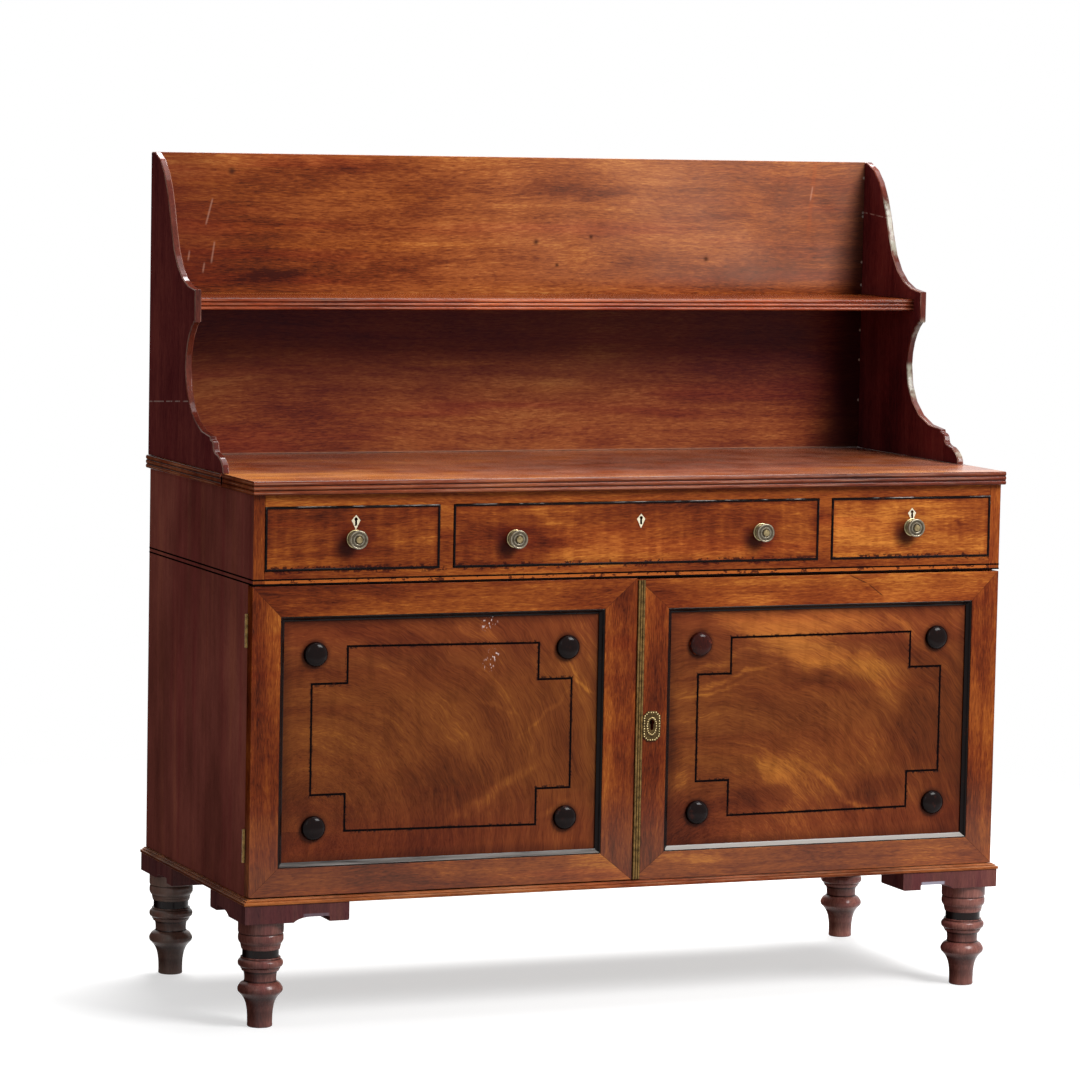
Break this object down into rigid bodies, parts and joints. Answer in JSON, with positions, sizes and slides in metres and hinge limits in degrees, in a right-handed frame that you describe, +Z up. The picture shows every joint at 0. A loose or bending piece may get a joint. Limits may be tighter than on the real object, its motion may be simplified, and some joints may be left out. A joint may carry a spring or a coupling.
{
  "type": "chiffonier",
  "caption": "Mahogany cupboard on turned feet with panelled doors, a row of drawers, a reeded top and a raised gallery shelf with scrolled ends.",
  "frame": {"origin": "on the floor, under the middle of the bounding box", "axes": "+X to the right seen from the front, +Y to the back, +Z up; the doors face -Y"},
  "size_m": [1.1984, 0.5034, 1.2338],
  "materials": {
    "mahogany": "polished mahogany",
    "dark_mahogany": "polished dark mahogany",
    "inner_wood": "unpolished pine and oak",
    "ebonised": "ebonised and polished",
    "brass": "aged brass",
    "bone": "polished bone",
    "steel": "dull steel"
  },
  "bodies": {
    "carcass": {"left_side_panel": "dark_mahogany", "right_side_panel": "dark_mahogany", "carcass_back": "inner_wood", "carcass_bottom": "inner_wood", "cupboard_shelf": "inner_wood", "dust_board": "inner_wood", "face_frame": "mahogany", "top_board": "mahogany", "base_moulding": "mahogany", "bracket_front_left": "mahogany", "bracket_front_right": "mahogany", "bracket_back_left": "mahogany", "bracket_back_right": "mahogany", "foot_front_left": "mahogany", "foot_front_right": "mahogany", "foot_back_left": "mahogany", "foot_back_right": "mahogany", "gallery_left_end": "dark_mahogany", "gallery_right_end": "dark_mahogany", "gallery_back": "mahogany", "gallery_shelf": "mahogany", "left_top_hinge_fixed_leaf": "brass", "left_bottom_hinge_fixed_leaf": "brass", "right_top_hinge_fixed_leaf": "brass", "right_bottom_hinge_fixed_leaf": "brass"},
    "left_door": {"left_door_frame": "mahogany", "left_door_panel": "mahogany", "left_door_moulding": "ebonised", "left_top_hinge_door_leaf": "brass", "left_bottom_hinge_door_leaf": "brass"},
    "left_door_upper_bolt": {"left_door_top_bolt": "brass"},
    "left_door_lower_bolt": {"left_door_bottom_bolt": "brass"},
    "right_door": {"right_door_frame": "mahogany", "right_door_panel": "mahogany", "right_door_moulding": "ebonised", "right_top_hinge_door_leaf": "brass", "right_bottom_hinge_door_leaf": "brass", "meeting_strip": "brass", "door_key_plate": "brass", "door_lock": "brass"},
    "right_door_bolt": {"door_lock_bolt": "steel"},
    "left_drawer": {"left_drawer_front": "mahogany", "left_drawer_box": "inner_wood", "left_drawer_knob": "brass", "left_drawer_key_plate": "bone", "left_drawer_lock": "brass"},
    "left_drawer_lock_bolt": {"left_drawer_bolt": "steel"},
    "middle_drawer": {"middle_drawer_front": "mahogany", "middle_drawer_box": "inner_wood", "middle_drawer_knob_1": "brass", "middle_drawer_knob_2": "brass", "middle_drawer_key_plate": "bone", "middle_drawer_lock": "brass"},
    "middle_drawer_lock_bolt": {"middle_drawer_bolt": "steel"},
    "right_drawer": {"right_drawer_front": "mahogany", "right_drawer_box": "inner_wood", "right_drawer_knob": "brass", "right_drawer_key_plate": "bone", "right_drawer_lock": "brass"},
    "right_drawer_lock_bolt": {"right_drawer_bolt": "steel"}
  },
  "joints": [
    {"name": "left_door_hinge", "type": "hinge", "parent": "carcass", "child": "left_door", "pos_m": [-0.591, -0.212, 0.41], "axis": [0, 0, -1], "range_deg": [0, 170]},
    {"name": "right_door_hinge", "type": "hinge", "parent": "carcass", "child": "right_door", "pos_m": [0.591, -0.212, 0.41], "axis": [0, 0, 1], "range_deg": [0, 170]},
    {"name": "left_drawer_slide", "type": "slide", "parent": "carcass", "child": "left_drawer", "axis": [0, -1, 0], "range_m": [0, 0.3]},
    {"name": "middle_drawer_slide", "type": "slide", "parent": "carcass", "child": "middle_drawer", "axis": [0, -1, 0], "range_m": [0, 0.3]},
    {"name": "right_drawer_slide", "type": "slide", "parent": "carcass", "child": "right_drawer", "axis": [0, -1, 0], "range_m": [0, 0.3]},
    {"name": "left_drawer_lock", "type": "slide", "parent": "left_drawer", "child": "left_drawer_lock_bolt", "axis": [0, 0, 1], "range_m": [0, 0.0075]},
    {"name": "middle_drawer_lock", "type": "slide", "parent": "middle_drawer", "child": "middle_drawer_lock_bolt", "axis": [0, 0, 1], "range_m": [0, 0.0075]},
    {"name": "right_drawer_lock", "type": "slide", "parent": "right_drawer", "child": "right_drawer_lock_bolt", "axis": [0, 0, 1], "range_m": [0, 0.0075]},
    {"name": "right_door_lock", "type": "slide", "parent": "right_door", "child": "right_door_bolt", "axis": [-1, 0, 0], "range_m": [0, 0.0075]},
    {"name": "left_door_upper_slide", "type": "slide", "parent": "left_door", "child": "left_door_upper_bolt", "axis": [0, 0, 1], "range_m": [0, 0.009]},
    {"name": "left_door_lower_slide", "type": "slide", "parent": "left_door", "child": "left_door_lower_bolt", "axis": [0, 0, -1], "range_m": [0, 0.009]}
  ]
}
